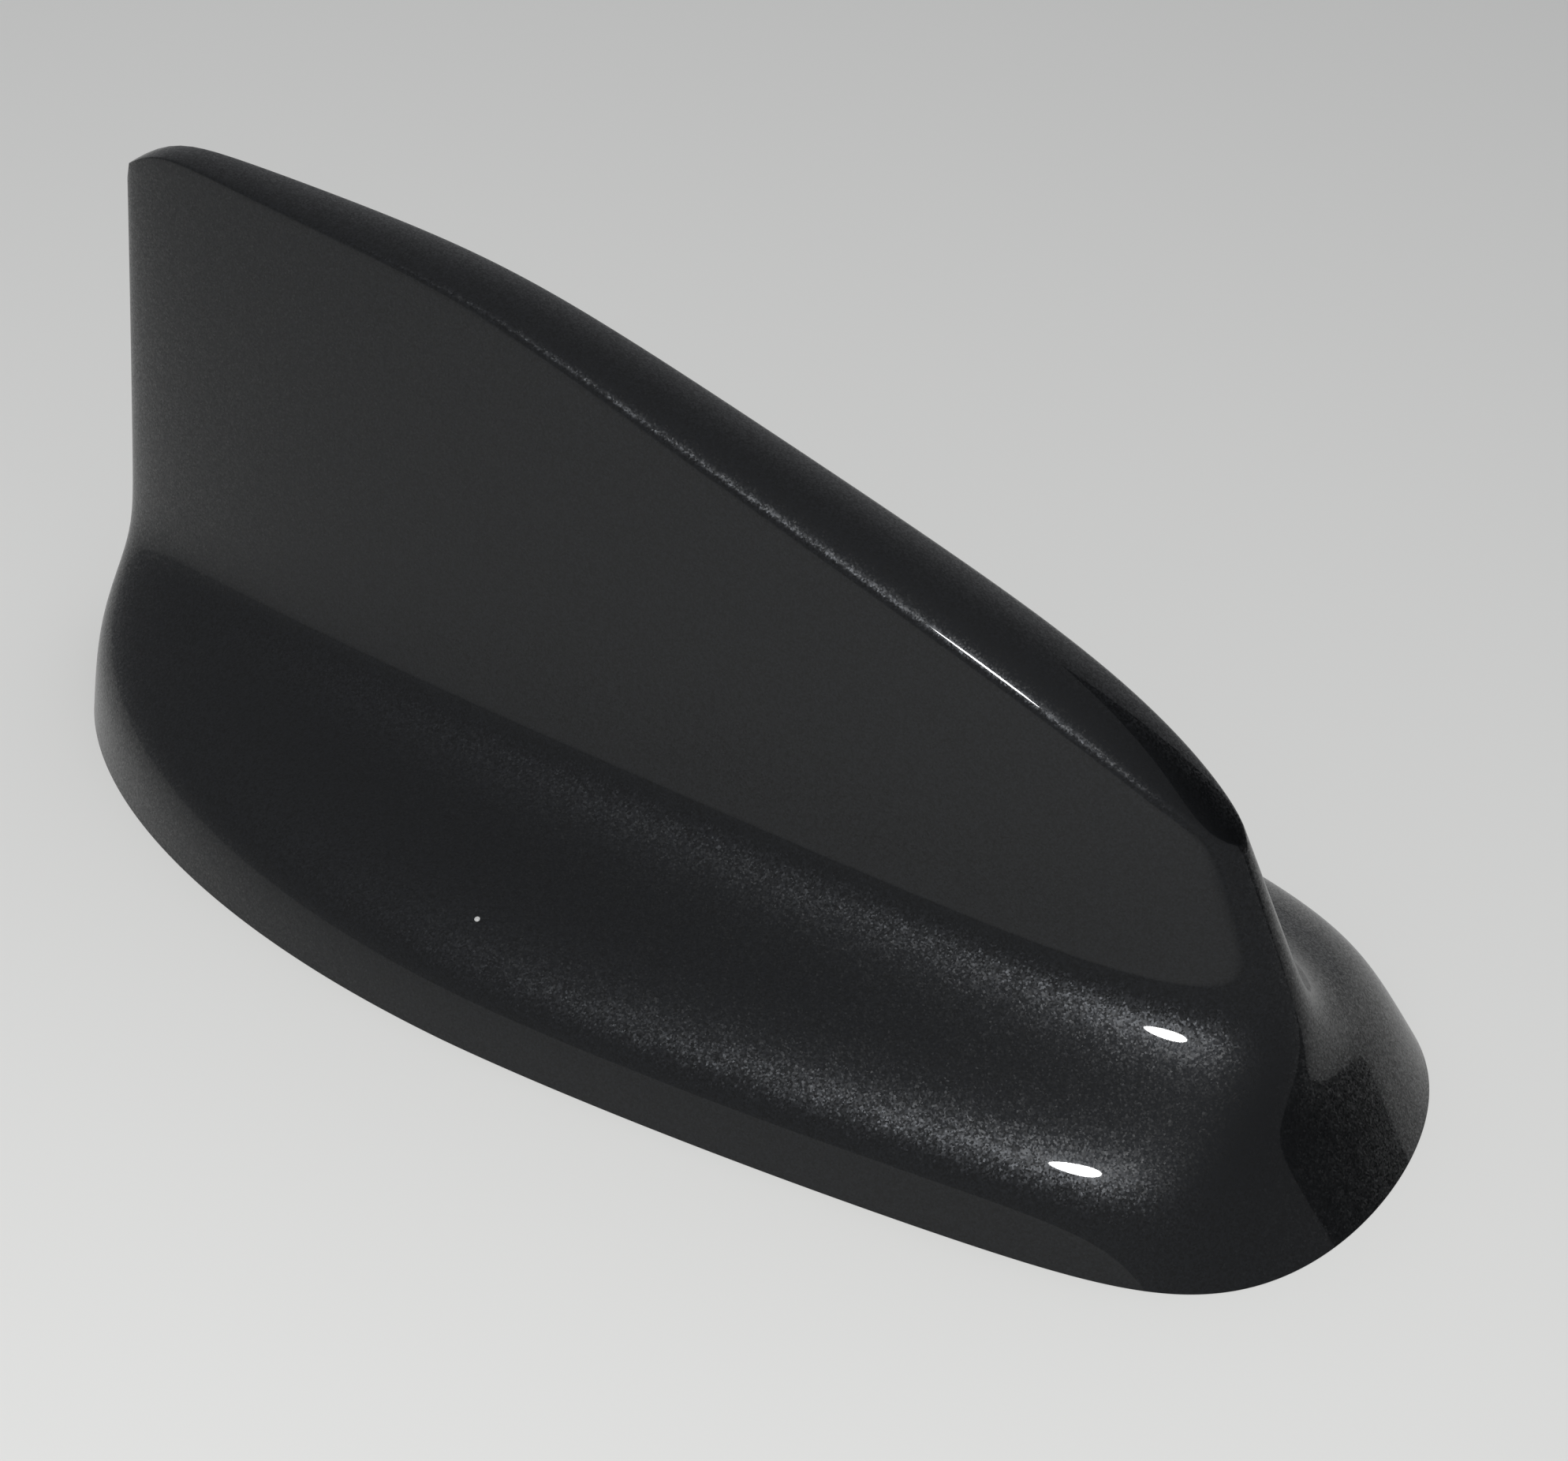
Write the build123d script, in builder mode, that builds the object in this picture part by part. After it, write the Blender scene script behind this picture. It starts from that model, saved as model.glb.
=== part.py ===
"""Clip-on cover of a shark-fin roof antenna: one hollow injection moulding, in millimetres.

The nose points along +X, +Z is up, and the rim lies on the plane Z = 0, centred on the origin.
The outside is one smooth skin: a low skirt flares into a narrow fin under a sloping crest.
Ribs, snap hooks and a locating tongue are moulded in one with the wall, on the inside.
"""
import os
from math import copysign, exp, hypot, log1p, sqrt

from build123d import *

# Rim and wall
LENGTH = 165.0
WIDTH = 76.7
WALL = 2.4

# Sides: the skirt leans in a little, then a flare carries it over to the flank of the fin
SKIRT_LEAN = 0.179
FIN_HALF_WIDTH = 12.2
FIN_LEAN = 0.15
FLARE_HEIGHT = 13.3
FLARE_SPAN = 5.5

# Tail and nose seen from the side: one lean below a rounded knee and another above it
TAIL_LOW_LEAN = 0.043
TAIL_HIGH_LEAN = 0.021
TAIL_KNEE = 10.4
TAIL_KNEE_SPAN = 10.5
NOSE_LOW_LEAN = 0.82
NOSE_HIGH_LEAN = 0.53
NOSE_KNEE = 11.1
NOSE_KNEE_SPAN = 3.5

# Plan, at the rim and in the fin: distance of the widest place from the tail, fullness of the
# two ends (2 is an ellipse, more is blunter) and how much the sides close in towards the nose
RIM_WIDEST = 72.0
RIM_TAIL_FULLNESS = 2.09
RIM_NOSE_FULLNESS = 13.5
RIM_NOSE_TAPER = 0.315
FIN_WIDEST = 67.2
FIN_TAIL_FULLNESS = 2.1
FIN_NOSE_FULLNESS = 8.03
FIN_NOSE_TAPER = 0.232
TAPER_POWER = 1.58

# Crest line: level at the tail, then a long back slope and a steep prow, with the tip rounded off
CREST_HEIGHT = 68.0
CROWN_RADIUS = 9.7
CROWN_DEPTH = 5.0
BACK_SLOPE = 0.267
BACK_START = 49.8
BACK_SPAN = 26.8
PROW_SLOPE = 0.78
PROW_LENGTH = 27.3
PROW_SPAN = 37.7
TIP_SLOPE = 1.05
TIP_LENGTH = 5.6
TIP_SPAN = 9.1

# Ribs across the fin, hanging from the crest
RIB_THICKNESS = 1.6
RIB_DEPTH = 17.0
RIB_FIRST = 34.0
RIB_PITCH = 26.0
RIB_COUNT = 3

# Snap hooks on the inside of the skirt, a pair on each side
HOOK_LENGTH = 12.0
HOOK_REACH = 2.2
HOOK_HEIGHT = 7.0
HOOK_LIP = 1.2
HOOK_LEAD = 5.0
HOOK_FIRST = 52.0
HOOK_PITCH = 44.0
HOOK_PAIRS = 2

# Tongue behind the nose
TONGUE_LENGTH = 8.0
TONGUE_WIDTH = 18.0
TONGUE_THICKNESS = 2.0
TONGUE_HEIGHT = 3.0

# Resolution of the skins
OUTLINE_STEPS = 14
LEVELS = 28
SKIN_BOTTOM = -4.0
SKIN_MARGIN = 1.0
CROWN_LINES = 40
CROWN_OVERHANG = 1.2
SKIN_TOLERANCE = 0.02
SLOPE_STEP = 0.01


def step(rise, span):
    """Smooth step from 0 to 1, over the given span about zero."""
    return 1 / (1 + exp(-4 * rise / span))


def bend(rise, span):
    """Smooth ramp: level before zero and a slope of one after it, with a knee of the given span."""
    return span / 4 * log1p(exp(4 * rise / span))


def lean(z, low, high, knee, span):
    """How far an end leans in at a height: one slope below its knee and another above it."""
    return low * z + (high - low) * (bend(z - knee, span) - bend(-knee, span))


def crest(x):
    """Height of the crest line at a place along the cover."""
    from_tail = x + LENGTH / 2
    from_nose = LENGTH / 2 - x
    back = BACK_SLOPE * bend(from_tail - BACK_START, BACK_SPAN)
    prow = PROW_SLOPE * bend(PROW_LENGTH - from_nose, PROW_SPAN)
    tip = TIP_SLOPE * bend(TIP_LENGTH - from_tail, TIP_SPAN)
    return CREST_HEIGHT - back - prow - tip


def walls(z):
    """Half width, tail distance and nose distance of the outside at a height."""
    flare = step(z - FLARE_HEIGHT, FLARE_SPAN)
    skirt = WIDTH / 2 - SKIRT_LEAN * z
    flank = FIN_HALF_WIDTH - FIN_LEAN * (z - FLARE_HEIGHT)
    tail = LENGTH / 2 - lean(z, TAIL_LOW_LEAN, TAIL_HIGH_LEAN, TAIL_KNEE, TAIL_KNEE_SPAN)
    nose = LENGTH / 2 - lean(z, NOSE_LOW_LEAN, NOSE_HIGH_LEAN, NOSE_KNEE, NOSE_KNEE_SPAN)
    return skirt + (flank - skirt) * flare, tail, nose


def inset_walls(z, inset):
    """The same three measures, moved in square to the wall."""
    moved = []
    for here, above in zip(walls(z), walls(z + SLOPE_STEP)):
        moved.append(here - inset * hypot(1, (above - here) / SLOPE_STEP))
    return moved


def plan(z, inset):
    """Plan of one side at a height, as a function: -1 is the nose, 0 the widest place and 1 the tail."""
    side, tail, nose = inset_walls(z, inset)
    flare = step(z - FLARE_HEIGHT, FLARE_SPAN)
    widest = RIM_WIDEST + (FIN_WIDEST - RIM_WIDEST) * flare - LENGTH / 2
    nose_fullness = RIM_NOSE_FULLNESS + (FIN_NOSE_FULLNESS - RIM_NOSE_FULLNESS) * flare
    tail_fullness = RIM_TAIL_FULLNESS + (FIN_TAIL_FULLNESS - RIM_TAIL_FULLNESS) * flare
    taper = RIM_NOSE_TAPER + (FIN_NOSE_TAPER - RIM_NOSE_TAPER) * flare

    def place(share):
        if share < 0:
            width = side * (1 - taper * (-share) ** TAPER_POWER)
            return widest - (nose - widest) * share, width * sqrt(1 - (-share) ** nose_fullness)
        return widest - (tail + widest) * share, side * sqrt(1 - share ** tail_fullness)

    return place


def half_width(x, z, inset):
    """Half width of the plan at a place along the cover and a height."""
    place = plan(z, inset)
    widest = place(0)[0]
    end = place(-1)[0] if x > widest else place(1)[0]
    share = (x - widest) / (end - widest)
    return place(-share if x > widest else share)[1]


def flank(inset):
    """Skin of the near side, as level outlines that run from the nose to the tail."""
    steps = range(-OUTLINE_STEPS, OUTLINE_STEPS + 1)
    shares = [copysign(1 - (1 - abs(k) / OUTLINE_STEPS) ** 2, k) for k in steps]
    outlines = []
    for level in range(LEVELS + 1):
        rise = level / LEVELS
        z = SKIN_BOTTOM + (CREST_HEIGHT + SKIN_MARGIN - SKIN_BOTTOM) * (rise + rise ** 2) / 2
        place = plan(z, inset)
        spots = [Vector(x, -y, z) for x, y in map(place, shares)]
        past_nose = Vector(spots[1].X, -spots[1].Y, z)
        past_tail = Vector(spots[-2].X, -spots[-2].Y, z)
        outlines.append([past_nose] + spots + [past_tail])
    return Face.make_surface_from_array_of_points(outlines, tol=SKIN_TOLERANCE, min_deg=3, max_deg=3)


def crown(inset):
    """Skin over the top of the fin: the crest line, falling away to both sides by the crown's depth."""
    lines = []
    for k in range(CROWN_LINES + 1):
        x = LENGTH * CROWN_OVERHANG * (k / CROWN_LINES - 0.5)
        slope = (crest(x + SLOPE_STEP) - crest(x)) / SLOPE_STEP
        top = crest(x) - inset * hypot(1, slope)
        line = []
        for j in range(CROWN_LINES + 1):
            y = WIDTH * CROWN_OVERHANG * (j / CROWN_LINES - 0.5)
            fall = 1 - exp(-y ** 2 / (2 * CROWN_RADIUS * CROWN_DEPTH))
            line.append(Vector(x, y, top - CROWN_DEPTH * fall))
        lines.append(line)
    return Face.make_surface_from_array_of_points(lines, tol=SKIN_TOLERANCE, min_deg=3, max_deg=3)


def hull(inset):
    """Solid under the skins at an inset from the outside, standing on the rim plane."""
    with BuildPart() as body:
        Box(2 * LENGTH, WIDTH, CREST_HEIGHT, align=(Align.CENTER, Align.MAX, Align.MIN))
        sides = split(bisect_by=flank(inset), keep=Keep.ALL, mode=Mode.PRIVATE)
        inside = sides.solids().sort_by(SortBy.VOLUME)[0]
        layers = split(inside, bisect_by=crown(inset), keep=Keep.ALL, mode=Mode.PRIVATE)
        add(layers.solids().sort_by(SortBy.VOLUME)[-1], mode=Mode.REPLACE)
        mirror(about=Plane.XZ)
    return body.part


# Ribs, hooks and tongue, cut to the shape of the middle of the wall so that they root in it
with BuildPart() as fittings:
    for k in range(RIB_COUNT):
        rib_x = RIB_FIRST + k * RIB_PITCH - LENGTH / 2
        with Locations((rib_x, 0, crest(rib_x))):
            Box(RIB_THICKNESS, WIDTH, 2 * RIB_DEPTH)
    for k in range(HOOK_PAIRS):
        hook_x = HOOK_FIRST + k * HOOK_PITCH - LENGTH / 2
        wall_y = half_width(hook_x, HOOK_HEIGHT, WALL)
        with BuildSketch(Plane.YZ.offset(hook_x - HOOK_LENGTH / 2)):
            with BuildLine():
                Polyline(
                    (wall_y + WALL, HOOK_HEIGHT),
                    (wall_y - HOOK_REACH, HOOK_HEIGHT),
                    (wall_y - HOOK_REACH, HOOK_HEIGHT - HOOK_LIP),
                    (wall_y + WALL, HOOK_HEIGHT - HOOK_LEAD),
                    close=True,
                )
            make_face()
            mirror(about=Plane.YZ)
        extrude(amount=HOOK_LENGTH)
    nose_x = inset_walls(TONGUE_HEIGHT, WALL)[2]
    with Locations((nose_x - TONGUE_LENGTH, 0, TONGUE_HEIGHT)):
        Box(TONGUE_LENGTH + WALL, TONGUE_WIDTH, TONGUE_THICKNESS, align=(Align.MIN, Align.CENTER, Align.MIN))
    add(hull(WALL / 2), mode=Mode.INTERSECT)

# The moulding: the outside, hollowed to an even wall, with the fittings inside it
with BuildPart() as cover:
    add(hull(0.0))
    add(hull(WALL), mode=Mode.SUBTRACT)
    add(fittings.part)

os.makedirs("parts", exist_ok=True)
cover.part.label = "cover"
export_step(cover.part, "parts/cover.step")
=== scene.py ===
"""Looks of the clip-on cover of a shark-fin roof antenna, built around its CAD model.

The cover is one injection moulding, painted graphite metallic outside and left bare inside.
Sizes in the classes are millimetres; they become metres when a mesh is filled in.
"""

import logging
from dataclasses import dataclass, field
from enum import Enum
from math import cos, radians, sin
from typing import Any

import bpy
import numpy as np
from mathutils import Matrix, Vector


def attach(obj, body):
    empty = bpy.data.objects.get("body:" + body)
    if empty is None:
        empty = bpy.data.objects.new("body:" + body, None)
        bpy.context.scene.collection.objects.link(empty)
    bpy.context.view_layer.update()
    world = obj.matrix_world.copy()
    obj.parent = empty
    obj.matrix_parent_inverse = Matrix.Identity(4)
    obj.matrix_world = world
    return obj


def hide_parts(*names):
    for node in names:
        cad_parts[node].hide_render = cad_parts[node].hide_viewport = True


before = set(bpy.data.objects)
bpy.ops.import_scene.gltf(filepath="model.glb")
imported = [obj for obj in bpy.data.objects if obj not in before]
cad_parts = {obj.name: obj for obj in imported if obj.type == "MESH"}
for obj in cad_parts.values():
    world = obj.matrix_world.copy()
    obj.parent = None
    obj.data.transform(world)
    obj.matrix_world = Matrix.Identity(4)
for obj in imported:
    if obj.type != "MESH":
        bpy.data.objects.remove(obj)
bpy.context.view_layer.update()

Array = np.ndarray
LOG = logging.getLogger("cover")
MM = 0.001
TINY = 1e-16
SHORTEST_STEP = 1e-12
LARGEST_RATIO = 1e12
FACING_DOWN = -0.9


class Side(Enum):
    """Side of the cover, as the sign of its Y coordinates."""

    NEAR = -1
    FAR = 1


def linear(code: str) -> tuple[float, float, float, float]:
    """Turns an sRGB colour code into a linear colour.

    Args:
        code: Colour as a hash sign and six hexadecimal digits.

    Returns:
        Red, green, blue and an alpha of one.
    """
    shares = [int(code[k : k + 2], 16) / 255 for k in (1, 3, 5)]
    red, green, blue = [c / 12.92 if c <= 0.04045 else ((c + 0.055) / 1.055) ** 2.4 for c in shares]
    return red, green, blue, 1.0


def add_node(
    tree: bpy.types.NodeTree,
    kind: str,
    props: dict[str, Any] | None = None,
    values: dict[Any, Any] | None = None,
    links: dict[Any, bpy.types.NodeSocket] | None = None,
) -> bpy.types.Node:
    """Adds a node, sets it up and links its inputs.

    Args:
        tree: Node tree that gets the node.
        kind: Type of the node.
        props: Properties of the node, by name.
        values: Constants for its inputs, by name or place.
        links: Outputs that feed its inputs, by name or place.

    Returns:
        The new node.
    """
    node = tree.nodes.new(kind)
    for name, value in (props or {}).items():
        setattr(node, name, value)
    for name, value in (values or {}).items():
        node.inputs[name].default_value = value
    for name, socket in (links or {}).items():
        tree.links.new(socket, node.inputs[name])
    return node


def empty_material(name: str) -> bpy.types.Material:
    """Makes a material with an empty node tree.

    Args:
        name: Name of the material.

    Returns:
        The new material.
    """
    material = bpy.data.materials.new(name)
    material.use_nodes = True
    material.node_tree.nodes.clear()
    return material


def step(rise: Array, span: float) -> Array:
    """Smooth step from 0 to 1.

    Args:
        rise: Distance past the middle of the step.
        span: Length of the step.

    Returns:
        The share of the step that is done.
    """
    return 1 / (1 + np.exp(-4 * rise / span))


def bend(rise: Array, span: float) -> Array:
    """Smooth ramp, level before zero and with a slope of one after it.

    Args:
        rise: Distance past the knee.
        span: Length of the knee.

    Returns:
        The height of the ramp.
    """
    return span / 4 * np.logaddexp(0, 4 * rise / span)


@dataclass(frozen=True)
class Skin:
    """One smooth skin of the moulding, with the driving sizes of the CAD model.

    Only the flare and the edge under the crown are rounded more softly than in the CAD model.
    """

    inset: float = 0.0
    length: float = 165.0
    width: float = 76.7
    skirt_lean: float = 0.179
    fin_half_width: float = 12.2
    fin_lean: float = 0.15
    flare_height: float = 13.3
    flare_span: float = 8.0
    tail_low_lean: float = 0.043
    tail_high_lean: float = 0.021
    tail_knee: float = 10.4
    tail_knee_span: float = 10.5
    nose_low_lean: float = 0.82
    nose_high_lean: float = 0.53
    nose_knee: float = 11.1
    nose_knee_span: float = 3.5
    rim_widest: float = 72.0
    rim_tail_fullness: float = 2.09
    rim_nose_fullness: float = 13.5
    rim_nose_taper: float = 0.315
    fin_widest: float = 67.2
    fin_tail_fullness: float = 2.1
    fin_nose_fullness: float = 8.03
    fin_nose_taper: float = 0.232
    taper_power: float = 1.58
    crest_height: float = 68.0
    crown_radius: float = 9.7
    crown_depth: float = 5.0
    back_slope: float = 0.267
    back_start: float = 49.8
    back_span: float = 26.8
    prow_slope: float = 0.78
    prow_length: float = 27.3
    prow_span: float = 37.7
    tip_slope: float = 1.05
    tip_length: float = 5.6
    tip_span: float = 9.1
    edge_sharpness: float = 9.0
    fan_radius: float = 24.0
    turn_weight: float = 8.0
    slope_step: float = 0.01
    scan_steps: int = 700
    halvings: int = 40
    fine_steps: int = 800

    def crest(self, x: Array) -> Array:
        """Height of the crest line of this skin.

        Args:
            x: Places along the cover.

        Returns:
            Heights, moved in square to the crest by the inset.
        """
        here = self._outer_crest(x)
        slope = (self._outer_crest(x + self.slope_step) - here) / self.slope_step
        return here - self.inset * np.hypot(1, slope)

    def _outer_crest(self, x: Array) -> Array:
        """Height of the crest line of the outside.

        Args:
            x: Places along the cover.

        Returns:
            Heights.
        """
        from_tail = x + self.length / 2
        from_nose = self.length / 2 - x
        back = self.back_slope * bend(from_tail - self.back_start, self.back_span)
        prow = self.prow_slope * bend(self.prow_length - from_nose, self.prow_span)
        tip = self.tip_slope * bend(self.tip_length - from_tail, self.tip_span)
        return self.crest_height - back - prow - tip

    def _lean(self, z: Array, low: float, high: float, knee: float, span: float) -> Array:
        """How far an end leans in.

        Args:
            z: Heights.
            low: Slope below the knee.
            high: Slope above the knee.
            knee: Height of the knee.
            span: Length of the knee.

        Returns:
            Distances from the end of the rim.
        """
        return low * z + (high - low) * (bend(z - knee, span) - bend(np.array(-knee), span))

    def _outer_walls(self, z: Array) -> Array:
        """Half width, tail distance and nose distance of the outside.

        Args:
            z: Heights.

        Returns:
            The three measures, stacked.
        """
        flare = step(z - self.flare_height, self.flare_span)
        skirt = self.width / 2 - self.skirt_lean * z
        flank = self.fin_half_width - self.fin_lean * (z - self.flare_height)
        tail = self._lean(z, self.tail_low_lean, self.tail_high_lean, self.tail_knee, self.tail_knee_span)
        nose = self._lean(z, self.nose_low_lean, self.nose_high_lean, self.nose_knee, self.nose_knee_span)
        return np.stack((skirt + (flank - skirt) * flare, self.length / 2 - tail, self.length / 2 - nose))

    def walls(self, z: Array) -> Array:
        """The same three measures of this skin.

        Args:
            z: Heights.

        Returns:
            The measures, moved in square to the wall by the inset.
        """
        here = self._outer_walls(z)
        slope = (self._outer_walls(z + self.slope_step) - here) / self.slope_step
        return here - self.inset * np.hypot(1, slope)

    def half_width(self, x: Array, z: Array) -> Array:
        """Half width of the skin, with the edge between flank and crown rounded.

        Args:
            x: Places along the cover.
            z: Heights.

        Returns:
            Half widths, zero outside the side view.
        """
        side, tail, nose = self.walls(z)
        flare = step(z - self.flare_height, self.flare_span)
        widest = self.rim_widest + (self.fin_widest - self.rim_widest) * flare - self.length / 2
        nose_fullness = self.rim_nose_fullness + (self.fin_nose_fullness - self.rim_nose_fullness) * flare
        tail_fullness = self.rim_tail_fullness + (self.fin_tail_fullness - self.rim_tail_fullness) * flare
        taper = self.rim_nose_taper + (self.fin_nose_taper - self.rim_nose_taper) * flare
        ahead = np.clip((x - widest) / (nose - widest), 0, 1)
        behind = np.clip((widest - x) / (tail + widest), 0, 1)
        front = (1 - taper * ahead**self.taper_power) * np.sqrt(1 - ahead**nose_fullness)
        flank = side * front * np.sqrt(1 - behind**tail_fullness)
        drop = np.clip((self.crest(x) - z) / self.crown_depth, 0, None)
        under = drop < 1
        reach = -2 * self.crown_radius * self.crown_depth * np.log(np.where(under, 1 - drop, 0.5))
        crown = np.sqrt(np.maximum(reach, TINY))
        ratio = np.where(under, flank / crown, 0)
        excess = np.minimum(ratio, LARGEST_RATIO) ** self.edge_sharpness
        return flank / (1 + excess) ** (1 / self.edge_sharpness)

    def _inside(self, x: Array, z: Array) -> Array:
        """Whether points lie inside the side view.

        Args:
            x: Places along the cover.
            z: Heights.

        Returns:
            True for each point inside.
        """
        _, tail, nose = self.walls(z)
        return (z < self.crest(x)) & (x < nose) & (x > -tail)

    def arches(self, stations: int, rows: int) -> Array:
        """Points of the skin on arches from the far rim over the crest to the near rim.

        In the side view each arch is a straight ray from a foot on the rim plane.
        The rays stand upright in the middle and fan out at both ends until they lie along the rim.

        Args:
            stations: Number of arches from tail to nose.
            rows: Steps from the rim to the crest.

        Returns:
            Points in millimetres, by station, row and coordinate.
        """
        share = np.linspace(-1, 1, stations)[:, None]
        foot = (self.length / 2 - self.fan_radius) * (3 * share - share**3) / 2
        turn = np.pi / 2 * (1 - share**3)
        run, climb = np.cos(turn), np.abs(np.sin(turn))
        scan = np.linspace(0, self.length, self.scan_steps)[None, :]
        first_out = np.argmax(~self._inside(foot + scan * run, scan * climb), axis=1)
        low = scan[0, first_out - 1][:, None]
        high = scan[0, first_out][:, None]
        for _ in range(self.halvings):
            middle = (low + high) / 2
            within = self._inside(foot + middle * run, middle * climb)
            low, high = np.where(within, middle, low), np.where(within, high, middle)
        fine = np.linspace(0, 1, self.fine_steps)
        along = low * (1 - (1 - fine[None, :]) ** 2)
        x, z = foot + along * run, along * climb
        path = np.stack((x, self.half_width(x, z), z), axis=-1)
        moves = np.diff(path, axis=1)
        lengths = np.maximum(np.linalg.norm(moves, axis=-1), SHORTEST_STEP)
        headings = moves / lengths[..., None]
        bends = np.arccos(np.clip((headings[:, 1:] * headings[:, :-1]).sum(-1), -1, 1))
        costs = lengths + self.turn_weight * np.pad(bends, ((0, 0), (1, 0)))
        spent = np.pad(np.cumsum(costs, axis=1), ((0, 0), (1, 0)))
        even = np.linspace(0, 1, rows + 1)
        picks = np.stack([np.interp(even, line / line[-1], fine) for line in spent])
        along = low * (1 - (1 - picks) ** 2)
        x, z = foot + along * run, along * climb
        y = self.half_width(x, z)
        y[:, -1] = 0
        far = np.stack((x, y, z), axis=-1)
        near = far[:, -2::-1] * np.array((1, -1, 1))
        return np.concatenate((far, near), axis=1)


@dataclass(frozen=True)
class Speck:
    """A speck of dust, by its place in the picture, with its radius and colour."""

    column: float
    row: float
    radius: float
    colour: str


@dataclass(frozen=True)
class MetallicPaint:
    """Graphite base coat with fine metal flake under a clear coat, as on car body parts."""

    shade: str = "#090a0b"
    flake_shade: str = "#1e2023"
    flake_size: float = 0.2
    flake_tilt: float = 0.22
    metallic: float = 0.7
    roughness: float = 0.38
    coat: float = 0.42
    coat_roughness: float = 0.03

    def material(self, dust: list[tuple[Speck, Vector]]) -> bpy.types.Material:
        """Makes the paint.

        Args:
            dust: Specks with their places on the cover.

        Returns:
            The material.
        """
        made = empty_material("graphite_metallic_paint")
        tree = made.node_tree
        place = add_node(tree, "ShaderNodeTexCoord").outputs["Object"]
        # Each flake lies at its own small tilt, so the paint glitters round a lamp's reflection
        flakes = add_node(
            tree,
            "ShaderNodeTexVoronoi",
            values={"Scale": 1 / (self.flake_size * MM)},
            links={"Vector": place},
        ).outputs["Color"]
        tone = add_node(
            tree,
            "ShaderNodeMix",
            props={"data_type": "RGBA"},
            values={6: linear(self.shade), 7: linear(self.flake_shade)},
            links={0: flakes},
        ).outputs[2]
        for speck, spot in dust:
            gap = add_node(
                tree, "ShaderNodeVectorMath", {"operation": "DISTANCE"}, {1: tuple(spot)}, {0: place}
            ).outputs["Value"]
            near = add_node(
                tree, "ShaderNodeMath", {"operation": "LESS_THAN"}, {1: speck.radius * MM}, {0: gap}
            ).outputs[0]
            tone = add_node(
                tree, "ShaderNodeMix", {"data_type": "RGBA"}, {7: linear(speck.colour)}, {0: near, 6: tone}
            ).outputs[2]
        off = add_node(
            tree, "ShaderNodeVectorMath", {"operation": "SUBTRACT"}, {1: (0.5, 0.5, 0.5)}, {0: flakes}
        )
        tilt = add_node(
            tree,
            "ShaderNodeVectorMath",
            {"operation": "SCALE"},
            {"Scale": self.flake_tilt},
            {0: off.outputs[0]},
        )
        normal = add_node(tree, "ShaderNodeNewGeometry").outputs["Normal"]
        lean = add_node(
            tree, "ShaderNodeVectorMath", {"operation": "ADD"}, links={0: normal, 1: tilt.outputs[0]}
        )
        flat = add_node(
            tree, "ShaderNodeVectorMath", {"operation": "NORMALIZE"}, links={0: lean.outputs[0]}
        )
        shader = add_node(
            tree,
            "ShaderNodeBsdfPrincipled",
            values={
                "Metallic": self.metallic,
                "Roughness": self.roughness,
                "Coat Weight": self.coat,
                "Coat Roughness": self.coat_roughness,
            },
            links={"Base Color": tone, "Normal": flat.outputs[0]},
        )
        add_node(tree, "ShaderNodeOutputMaterial", links={"Surface": shader.outputs[0]})
        return made


@dataclass(frozen=True)
class BarePlastic:
    """Black styrene plastic as it leaves the mould, with a fine grain."""

    shade: str = "#17181a"
    roughness: float = 0.5
    grain_size: float = 0.4
    grain_height: float = 0.01
    name: str = "bare_black_plastic"

    def material(self) -> bpy.types.Material:
        """Makes the plastic.

        Returns:
            The material.
        """
        made = empty_material(self.name)
        tree = made.node_tree
        place = add_node(tree, "ShaderNodeTexCoord").outputs["Object"]
        # A faint grain takes the mirror look off the hidden side
        grain = add_node(
            tree, "ShaderNodeTexNoise", values={"Scale": 1 / (self.grain_size * MM)}, links={"Vector": place}
        )
        bump = add_node(
            tree,
            "ShaderNodeBump",
            values={"Distance": self.grain_height * MM},
            links={"Height": grain.outputs[0]},
        )
        shader = add_node(
            tree,
            "ShaderNodeBsdfPrincipled",
            values={"Base Color": linear(self.shade), "Roughness": self.roughness},
            links={"Normal": bump.outputs[0]},
        )
        add_node(tree, "ShaderNodeOutputMaterial", links={"Surface": shader.outputs[0]})
        return made


@dataclass(frozen=True)
class MattSheet:
    """Plain matt sheet for the floor and for a dark card beside the stage."""

    name: str
    shade: str
    roughness: float = 0.7
    gloss: float = 0.2

    def material(self) -> bpy.types.Material:
        """Makes the sheet's finish.

        Returns:
            The material.
        """
        made = empty_material(self.name)
        tree = made.node_tree
        # No pattern: an even tone that stays out of the way
        shader = add_node(
            tree,
            "ShaderNodeBsdfPrincipled",
            values={
                "Base Color": linear(self.shade),
                "Roughness": self.roughness,
                "Specular IOR Level": self.gloss,
            },
        )
        add_node(tree, "ShaderNodeOutputMaterial", links={"Surface": shader.outputs[0]})
        return made


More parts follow.
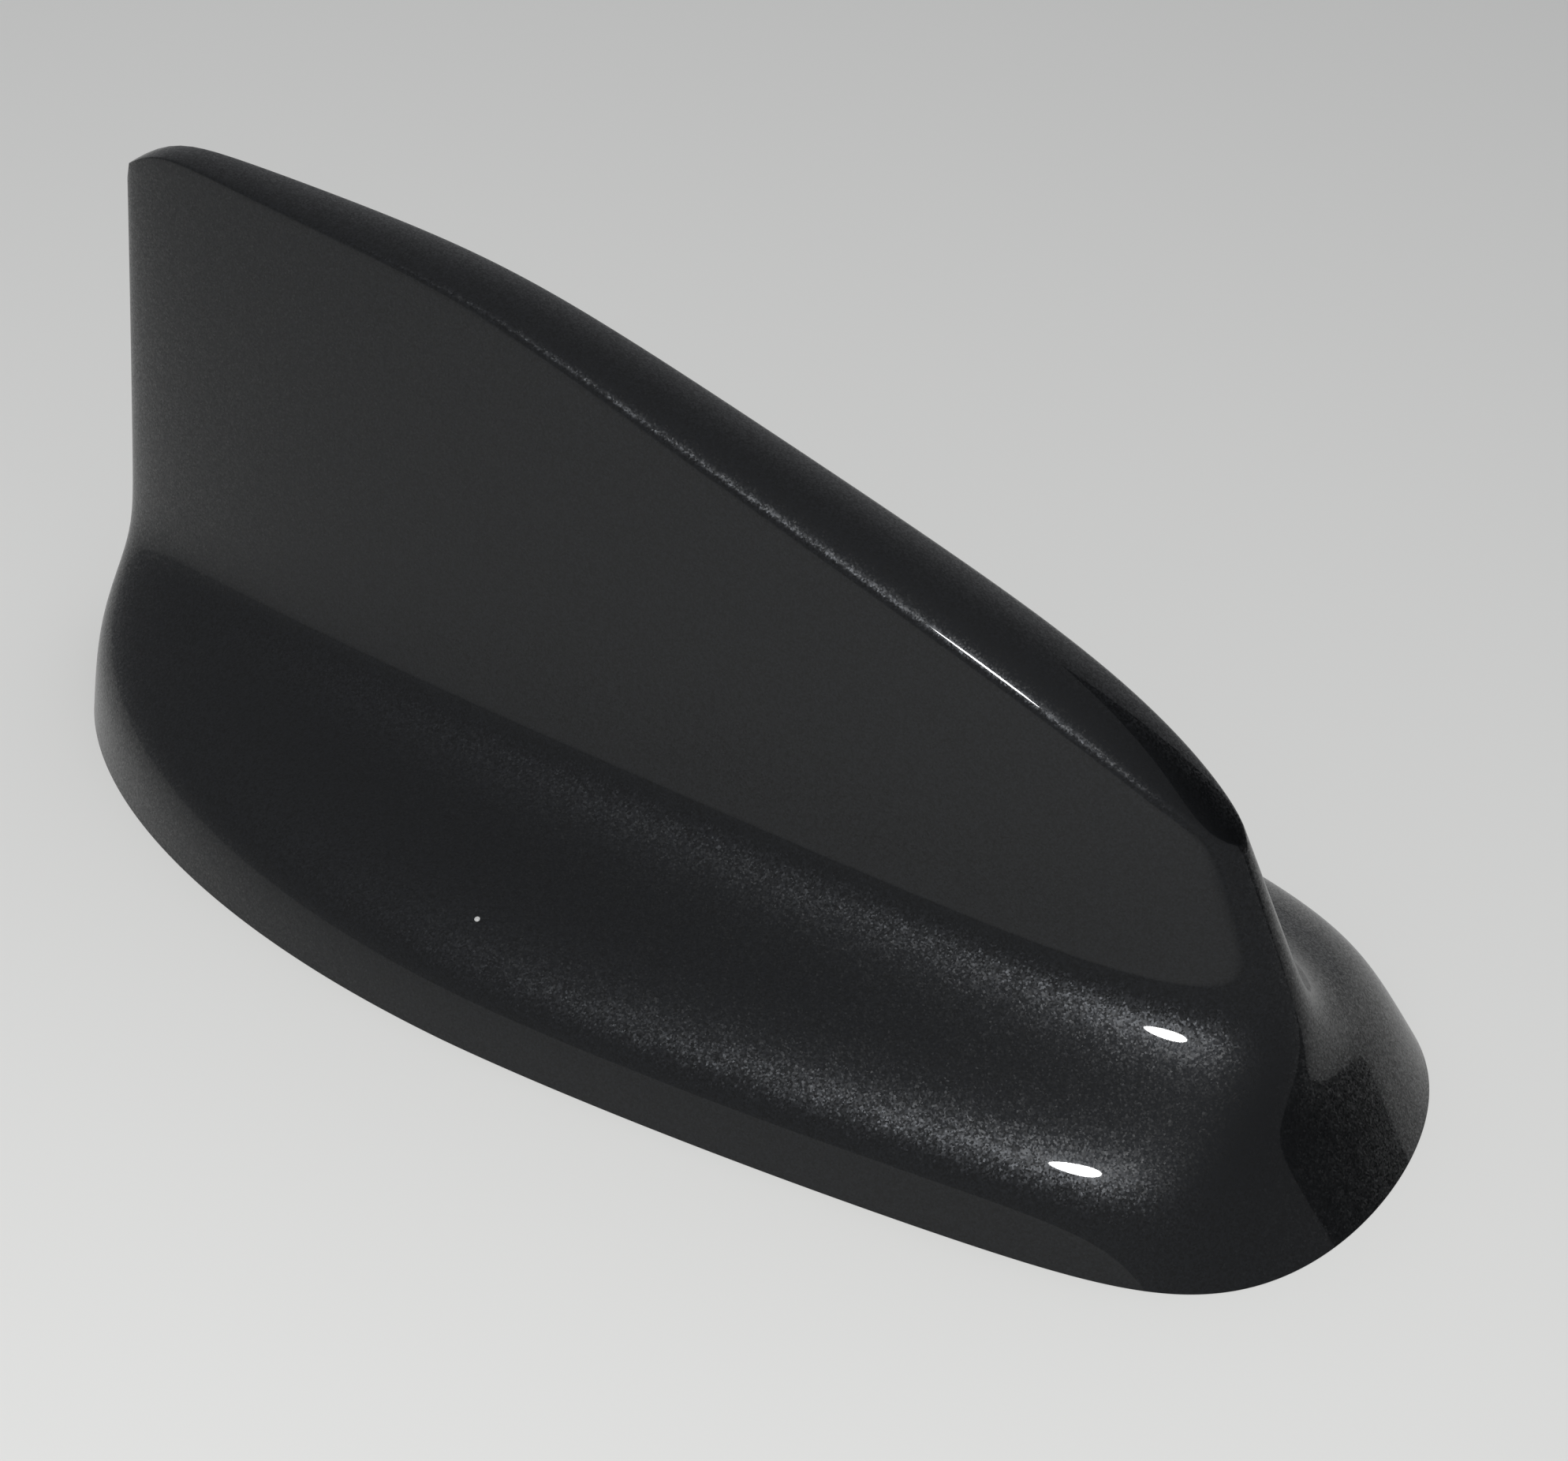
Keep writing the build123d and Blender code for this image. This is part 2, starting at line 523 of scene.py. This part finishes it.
@dataclass(frozen=True)
class PictureCamera:
    """The camera of the picture, as found from the outline of the cover."""

    azimuth: float = 29.49
    elevation: float = 37.76
    roll: float = 4.27
    distance: float = 424.17
    target: tuple[float, float, float] = (6.68, 0.0, 25.25)
    lens: float = 91.19
    sensor: float = 36.0
    nearest: float = 10.0
    columns: int = 1988
    lines: int = 1852

    def axes(self) -> tuple[Vector, Vector, Vector]:
        """Directions of the camera.

        Returns:
            Right, up and back, as unit vectors.
        """
        turn, rise, tip = radians(self.azimuth), radians(self.elevation), radians(self.roll)
        back = Vector((sin(turn) * cos(rise), -cos(turn) * cos(rise), sin(rise)))
        right = Vector((cos(turn), sin(turn), 0))
        up = back.cross(right)
        return right * cos(tip) + up * sin(tip), up * cos(tip) - right * sin(tip), back

    def eye(self) -> Vector:
        """Place of the camera.

        Returns:
            The place, in metres.
        """
        return (Vector(self.target) + self.axes()[2] * self.distance) * MM

    def ray(self, column: float, row: float) -> Vector:
        """Direction from the camera through a place in the picture.

        Args:
            column: Pixels from the left edge.
            row: Pixels from the top edge.

        Returns:
            A unit vector.
        """
        right, up, back = self.axes()
        focal = self.lens / self.sensor * self.columns
        ahead = right * (column - self.columns / 2) - up * (row - self.lines / 2) - back * focal
        return ahead.normalized()

    def build(self) -> bpy.types.Object:
        """Adds the camera and makes it the scene's camera.

        Returns:
            The camera object.
        """
        bpy.ops.object.camera_add()
        made = bpy.context.object
        made.name = "picture_camera"
        made.data.sensor_fit = "HORIZONTAL"
        made.data.sensor_width = self.sensor
        made.data.lens = self.lens
        made.data.clip_start = self.nearest * MM
        right, up, back = self.axes()
        pose = Matrix((right, up, back)).transposed().to_4x4()
        pose.translation = self.eye()
        made.matrix_world = pose
        bpy.context.scene.camera = made
        return made


@dataclass
class Moulding:
    """The cover: two skins joined at the rim, with ribs, hooks and a tongue on the inside."""

    wall: float = 2.4
    stations: int = 240
    rows: int = 90
    smooth_angle: float = 35.0
    rib_thickness: float = 1.6
    rib_depth: float = 17.0
    rib_places: tuple[float, ...] = (34.0, 60.0, 86.0)
    rib_steps: int = 16
    rib_share: float = 0.98
    hook_length: float = 12.0
    hook_reach: float = 2.2
    hook_height: float = 7.0
    hook_lip: float = 1.2
    hook_lead: float = 5.0
    hook_places: tuple[float, ...] = (52.0, 96.0)
    tongue_size: tuple[float, float, float] = (8.0, 18.0, 2.0)
    tongue_height: float = 3.0
    tongue_cuts: int = 9
    front_steps: int = 2001
    dust: tuple[Speck, ...] = (Speck(605, 1165, 0.3, "#e6e6e4"),)
    paint: MetallicPaint = field(default_factory=MetallicPaint)
    plastic: BarePlastic = field(default_factory=BarePlastic)

    def __post_init__(self) -> None:
        """Sets up the three skins that the pieces follow."""
        self.outer = Skin()
        self.middle = Skin(inset=self.wall / 2)
        self.inner = Skin(inset=self.wall)

    def _skin_object(self, name: str, skin: Skin) -> bpy.types.Object:
        """Shapes a grid into a skin, facing outwards.

        Args:
            name: Name of the object.
            skin: The skin.

        Returns:
            The object.
        """
        bpy.ops.object.select_all(action="DESELECT")
        bpy.ops.mesh.primitive_grid_add(x_subdivisions=2 * self.rows, y_subdivisions=self.stations, size=2)
        made = bpy.context.object
        made.name = name
        flat = np.empty(len(made.data.vertices) * 3)
        made.data.vertices.foreach_get("co", flat)
        flat = flat.reshape(-1, 3)
        column = np.rint((flat[:, 0] + 1) * self.rows).astype(int)
        line = np.rint((flat[:, 1] + 1) / 2 * self.stations).astype(int)
        points = skin.arches(self.stations + 1, self.rows)[line, column] * MM
        made.data.vertices.foreach_set("co", points.ravel())
        made.data.update()
        return made

    def _shell(self, camera: PictureCamera) -> bpy.types.Object:
        """Joins the painted skin and the bare skin at the rim.

        Args:
            camera: Camera of the picture, which gives the specks their places.

        Returns:
            The closed shell.
        """
        outside = self._skin_object("cover_moulding", self.outer)
        bpy.context.view_layer.update()
        dust = []
        for speck in self.dust:
            hit, spot, _, _ = outside.ray_cast(camera.eye(), camera.ray(speck.column, speck.row))
            if hit:
                dust.append((speck, spot))
        outside.data.materials.append(self.paint.material(dust))
        inside = self._skin_object("inside", self.inner)
        inside.data.materials.append(self.plastic.material())
        bpy.ops.object.mode_set(mode="EDIT")
        bpy.ops.mesh.select_all(action="SELECT")
        bpy.ops.mesh.flip_normals()
        bpy.ops.object.mode_set(mode="OBJECT")
        self._join(outside, [inside])
        bpy.ops.object.mode_set(mode="EDIT")
        bpy.ops.mesh.select_mode(type="EDGE")
        bpy.ops.mesh.select_all(action="DESELECT")
        bpy.ops.mesh.select_non_manifold(
            use_wire=False, use_multi_face=False, use_non_contiguous=False, use_verts=False
        )
        bpy.ops.mesh.bridge_edge_loops()
        bpy.ops.mesh.select_all(action="SELECT")
        bpy.ops.mesh.normals_make_consistent(inside=False)
        bpy.ops.object.mode_set(mode="OBJECT")
        for face in outside.data.polygons:
            if face.normal.z < FACING_DOWN and face.center.z < MM * self.outer.slope_step:
                face.material_index = 1
        return outside

    def _join(self, whole: bpy.types.Object, others: list[bpy.types.Object]) -> None:
        """Joins objects into one.

        Args:
            whole: Object that takes the others in.
            others: The others.
        """
        bpy.ops.object.select_all(action="DESELECT")
        for piece in (*others, whole):
            piece.select_set(True)
        bpy.context.view_layer.objects.active = whole
        bpy.ops.object.join()

    def _rib(self, place: float) -> bpy.types.Object:
        """Makes a rib that hangs from the crest.

        Args:
            place: Distance from the tail.

        Returns:
            The rib.
        """
        bpy.ops.object.select_all(action="DESELECT")
        bpy.ops.mesh.primitive_grid_add(x_subdivisions=self.rib_steps, y_subdivisions=self.rib_steps, size=2)
        made = bpy.context.object
        x = np.array(place - self.outer.length / 2)
        bottom = float(self.outer.crest(x)) - self.rib_depth
        top = float(self.middle.crest(x))
        for vertex in made.data.vertices:
            across, up = vertex.co.x, (vertex.co.y + 1) / 2
            z = np.array(bottom + (top - bottom) * self.rib_share * up)
            y = across * float(self.middle.half_width(x, z))
            vertex.co = Vector((float(x), y, float(z))) * MM
        thick = made.modifiers.new("thickness", "SOLIDIFY")
        thick.thickness = self.rib_thickness * MM
        thick.offset = 0
        bpy.ops.object.modifier_apply(modifier=thick.name)
        return made

    def _hook(self, place: float, side: Side) -> bpy.types.Object:
        """Makes a snap hook on the inside of the skirt.

        Args:
            place: Distance from the tail.
            side: Side of the cover.

        Returns:
            The hook.
        """
        bpy.ops.object.select_all(action="DESELECT")
        bpy.ops.mesh.primitive_cube_add(size=2)
        made = bpy.context.object
        middle = np.array(place - self.outer.length / 2)
        low = self.hook_height - self.hook_lead
        wall_y = float(self.inner.half_width(middle, np.array(self.hook_height)))
        foot_y = float(self.middle.half_width(middle, np.array(low)))
        root_y = float(self.middle.half_width(middle, np.array(self.hook_height)))
        for vertex in made.data.vertices:
            rooted, upper = vertex.co.y > 0, vertex.co.z > 0
            y = (root_y if upper else foot_y) if rooted else wall_y - self.hook_reach
            z = self.hook_height if upper else (low if rooted else self.hook_height - self.hook_lip)
            x = float(middle) + vertex.co.x * self.hook_length / 2
            vertex.co = Vector((x, side.value * y, z)) * MM
        return made

    def _tongue(self) -> bpy.types.Object:
        """Makes the tongue behind the nose.

        Returns:
            The tongue.
        """
        bpy.ops.object.select_all(action="DESELECT")
        bpy.ops.mesh.primitive_cube_add(size=2)
        made = bpy.context.object
        bpy.ops.object.mode_set(mode="EDIT")
        bpy.ops.mesh.select_all(action="SELECT")
        bpy.ops.mesh.subdivide(number_cuts=self.tongue_cuts)
        bpy.ops.object.mode_set(mode="OBJECT")
        long, wide, thick = self.tongue_size
        back = float(self.inner.walls(np.array(self.tongue_height))[2]) - long
        line = np.linspace(back, self.outer.length / 2, self.front_steps)
        for vertex in made.data.vertices:
            y = vertex.co.y * wide / 2
            z = self.tongue_height + thick * (vertex.co.z + 1) / 2
            front = line[self.middle.half_width(line, np.full_like(line, z)) > abs(y)][-1]
            x = back + (front - back) * (vertex.co.x + 1) / 2
            vertex.co = Vector((x, y, z)) * MM
        return made

    def build(self, camera: PictureCamera) -> bpy.types.Object:
        """Makes the cover, in one piece, in place of the plain CAD part.

        Args:
            camera: Camera of the picture.

        Returns:
            The cover.
        """
        cover = self._shell(camera)
        fittings = [self._rib(place) for place in self.rib_places]
        fittings += [self._hook(place, side) for place in self.hook_places for side in Side]
        fittings.append(self._tongue())
        bare = cover.data.materials[1]
        for piece in fittings:
            piece.data.materials.append(bare)
            bpy.ops.object.select_all(action="DESELECT")
            piece.select_set(True)
            bpy.context.view_layer.objects.active = piece
            bpy.ops.object.mode_set(mode="EDIT")
            bpy.ops.mesh.select_all(action="SELECT")
            bpy.ops.mesh.normals_make_consistent(inside=False)
            bpy.ops.object.mode_set(mode="OBJECT")
        self._join(cover, fittings)
        bpy.ops.object.shade_smooth_by_angle(angle=radians(self.smooth_angle))
        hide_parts("cover")
        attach(cover, "root")
        return cover


@dataclass(frozen=True)
class Studio:
    """Pale floor, soft room light, one lamp over the near side and a dark card beyond the nose."""

    floor_size: float = 4000.0
    floor_drop: float = 0.05
    lamp_place: tuple[float, float, float] = (131.0, -386.0, 630.0)
    lamp_aim: tuple[float, float, float] = (36.0, -8.0, 48.0)
    lamp_size: float = 130.0
    lamp_power: float = 4.0
    card_place: tuple[float, float, float] = (357.0, 344.0, 216.0)
    card_aim: tuple[float, float, float] = (62.0, 0.0, 32.0)
    card_size: float = 480.0
    room_shade: str = "#9a9b9d"
    floor: MattSheet = MattSheet("pale_floor", "#dededc")
    card: MattSheet = MattSheet("dark_card", "#020202")

    def _facing(
        self, made: bpy.types.Object, place: tuple[float, ...], aim: tuple[float, ...], axis: str
    ) -> None:
        """Puts an object in place and turns one of its axes to a point.

        Args:
            made: The object.
            place: Where it goes.
            aim: Where its axis points.
            axis: The axis.
        """
        made.location = Vector(place) * MM
        made.rotation_euler = (Vector(aim) - Vector(place)).to_track_quat(axis, "Y").to_euler()

    def _world(self) -> None:
        """Gives the scene an even grey room."""
        world = bpy.data.worlds.new("grey_room")
        world.use_nodes = True
        tree = world.node_tree
        tree.nodes.clear()
        room = add_node(tree, "ShaderNodeBackground", values={"Color": linear(self.room_shade)})
        add_node(tree, "ShaderNodeOutputWorld", links={"Surface": room.outputs[0]})
        bpy.context.scene.world = world

    def build(self) -> None:
        """Adds the floor, the card, the lamp and the room."""
        bpy.ops.mesh.primitive_plane_add(size=self.floor_size * MM, location=(0, 0, -self.floor_drop * MM))
        floor = bpy.context.object
        floor.name = "floor"
        floor.data.materials.append(self.floor.material())
        bpy.ops.mesh.primitive_plane_add(size=self.card_size * MM)
        card = bpy.context.object
        card.name = "dark_card"
        card.data.materials.append(self.card.material())
        card.visible_camera = False
        card.visible_diffuse = False
        card.visible_shadow = False
        self._facing(card, self.card_place, self.card_aim, "Z")
        bpy.ops.object.light_add(type="AREA")
        lamp = bpy.context.object
        lamp.name = "lamp"
        lamp.data.shape = "DISK"
        lamp.data.size = self.lamp_size * MM
        lamp.data.energy = self.lamp_power
        self._facing(lamp, self.lamp_place, self.lamp_aim, "-Z")
        self._world()


def main() -> None:
    """Builds the cover, the stage and the camera."""
    logging.basicConfig(level=logging.INFO, format="%(name)s: %(message)s")
    bpy.context.scene.view_settings.view_transform = "Standard"
    camera = PictureCamera()
    camera.build()
    Studio().build()
    cover = Moulding().build(camera)
    LOG.info("%s: %d faces", cover.name, len(cover.data.polygons))


if __name__ == "__main__":
    main()
